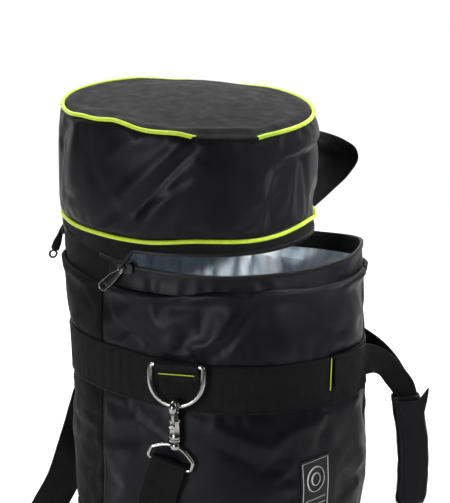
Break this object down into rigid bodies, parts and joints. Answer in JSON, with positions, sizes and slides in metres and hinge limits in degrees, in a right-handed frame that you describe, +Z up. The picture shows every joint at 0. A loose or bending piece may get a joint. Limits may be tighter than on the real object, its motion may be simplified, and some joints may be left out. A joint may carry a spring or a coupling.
{
  "type": "cylindrical padded carry bag",
  "caption": "Upright round padded fabric bag with a drum-shaped zip lid swung half off its open mouth, piped edges, webbing bands, a wrapped side handle and a clip-on shoulder strap.",
  "frame": {"origin": "middle of the underside of the base, on the surface the bag stands on", "axes": "+Z up along the bag's height, front with the clipped strap towards -Y, carry handle towards +X"},
  "size_m": [0.4899, 0.4229, 0.5606],
  "materials": {
    "gloss_nylon": "glossy coated ripstop nylon",
    "matte_nylon": "matte woven nylon",
    "webbing": "ribbed woven webbing",
    "lime_piping": "satin piping cord",
    "padding": "closed-cell padding",
    "base_board": "stiffener sheet",
    "silver_lining": "crinkled silver-grey lining",
    "zip_tape": "knitted zip tape",
    "zip_chain": "moulded zip teeth",
    "zip_metal": "dark painted metal",
    "nickel": "polished nickel plate",
    "label": "printed patch"
  },
  "bodies": {
    "bag": {"base_panel": "matte_nylon", "base_board": "base_board", "base_lining": "silver_lining", "base_piping": "lime_piping", "outer_front_panel": "gloss_nylon", "outer_rear_panel": "matte_nylon", "wall_foam": "padding", "wall_lining": "silver_lining", "mouth_facing": "matte_nylon", "lower_zip_tape": "zip_tape", "lower_zip_chain": "zip_chain", "hinge_flap": "zip_tape", "upper_band": "webbing", "lower_band": "webbing", "label_patch": "label", "handle_front_strap": "webbing", "handle_rear_strap": "webbing", "grip_wrap": "matte_nylon", "front_ring_tab": "webbing", "rear_ring_tab": "webbing", "front_snap_eye": "nickel", "rear_snap_eye": "nickel", "shoulder_strap": "webbing"},
    "lid": {"lid_front_panel": "gloss_nylon", "lid_side_panel": "gloss_nylon", "lid_rear_panel": "gloss_nylon", "lid_wall_foam": "padding", "lid_wall_lining": "silver_lining", "lid_bottom_piping": "lime_piping", "lid_top_piping": "lime_piping", "upper_zip_tape": "zip_tape", "upper_zip_chain": "zip_chain", "lid_top_panel": "gloss_nylon", "lid_top_foam": "padding", "lid_top_lining": "silver_lining", "haul_loop": "matte_nylon"},
    "front_slider_body": {"front_slider": "zip_metal"},
    "front_pull_body": {"front_pull": "zip_metal"},
    "rear_slider_body": {"rear_slider": "zip_metal"},
    "rear_pull_body": {"rear_pull": "zip_metal"},
    "front_ring_body": {"front_strap_ring": "nickel"},
    "rear_ring_body": {"rear_strap_ring": "nickel"},
    "front_hook_body": {"front_snap_hook": "nickel"},
    "rear_hook_body": {"rear_snap_hook": "nickel"},
    "front_bolt_body": {"front_snap_bolt": "nickel"},
    "rear_bolt_body": {"rear_snap_bolt": "nickel"},
    "grip_flap_body": {"grip_flap": "matte_nylon"}
  },
  "joints": [
    {"name": "lid_hinge", "type": "hinge", "parent": "bag", "child": "lid", "pos_m": [-0.14032, -0.044, 0.425], "axis": [0.4997, -0.8655, -0.0343], "range_deg": [0, 120]},
    {"name": "front_slider_travel", "type": "hinge", "parent": "bag", "child": "front_slider_body", "pos_m": [0.00118, 0.07862, 0.43234], "axis": [0.0394, -0.1705, 0.9846], "range_deg": [0, 70]},
    {"name": "front_pull_swing", "type": "hinge", "parent": "front_slider_body", "child": "front_pull_body", "pos_m": [-0.08978, -0.09103, 0.40659], "axis": [-0.8837, 0.454, 0.114], "range_deg": [0, 110]},
    {"name": "rear_slider_travel", "type": "hinge", "parent": "bag", "child": "rear_slider_body", "pos_m": [-0.07898, -0.00113, 0.4184], "axis": [-0.0746, -0.1378, -0.9876], "range_deg": [0, 28]},
    {"name": "rear_pull_swing", "type": "hinge", "parent": "rear_slider_body", "child": "rear_pull_body", "pos_m": [-0.15798, 0.02147, 0.42094], "axis": [0.267, 0.9528, -0.1444], "range_deg": [0, 110]},
    {"name": "front_ring_swing", "type": "hinge", "parent": "bag", "child": "front_ring_body", "pos_m": [-0.03628, -0.12865, 0.31517], "axis": [-0.9706, 0.2407, 0], "range_deg": [0, 7]},
    {"name": "front_hook_swivel", "type": "hinge", "parent": "bag", "child": "front_hook_body", "pos_m": [-0.03811, -0.13603, 0.27419], "axis": [0, 0, 1], "range_deg": [-12, 12]},
    {"name": "front_bolt_slide", "type": "slide", "parent": "front_hook_body", "child": "front_bolt_body", "axis": [0, 0, -1], "range_m": [0, 0.008], "stiffness_N_per_m": 300},
    {"name": "rear_ring_swing", "type": "hinge", "parent": "bag", "child": "rear_ring_body", "pos_m": [-0.12481, 0.07744, 0.32328], "axis": [0.6944, 0.7196, 0], "range_deg": [0, 7]},
    {"name": "rear_hook_swivel", "type": "hinge", "parent": "bag", "child": "rear_hook_body", "pos_m": [-0.13028, 0.08272, 0.28231], "axis": [0, 0, 1], "range_deg": [-12, 12]},
    {"name": "rear_bolt_slide", "type": "slide", "parent": "rear_hook_body", "child": "rear_bolt_body", "axis": [0, 0, -1], "range_m": [0, 0.008], "stiffness_N_per_m": 300},
    {"name": "grip_flap_hinge", "type": "hinge", "parent": "bag", "child": "grip_flap_body", "pos_m": [0.1925, -0.0097, 0.184], "axis": [0, 0, -1], "range_deg": [0, 120]}
  ]
}
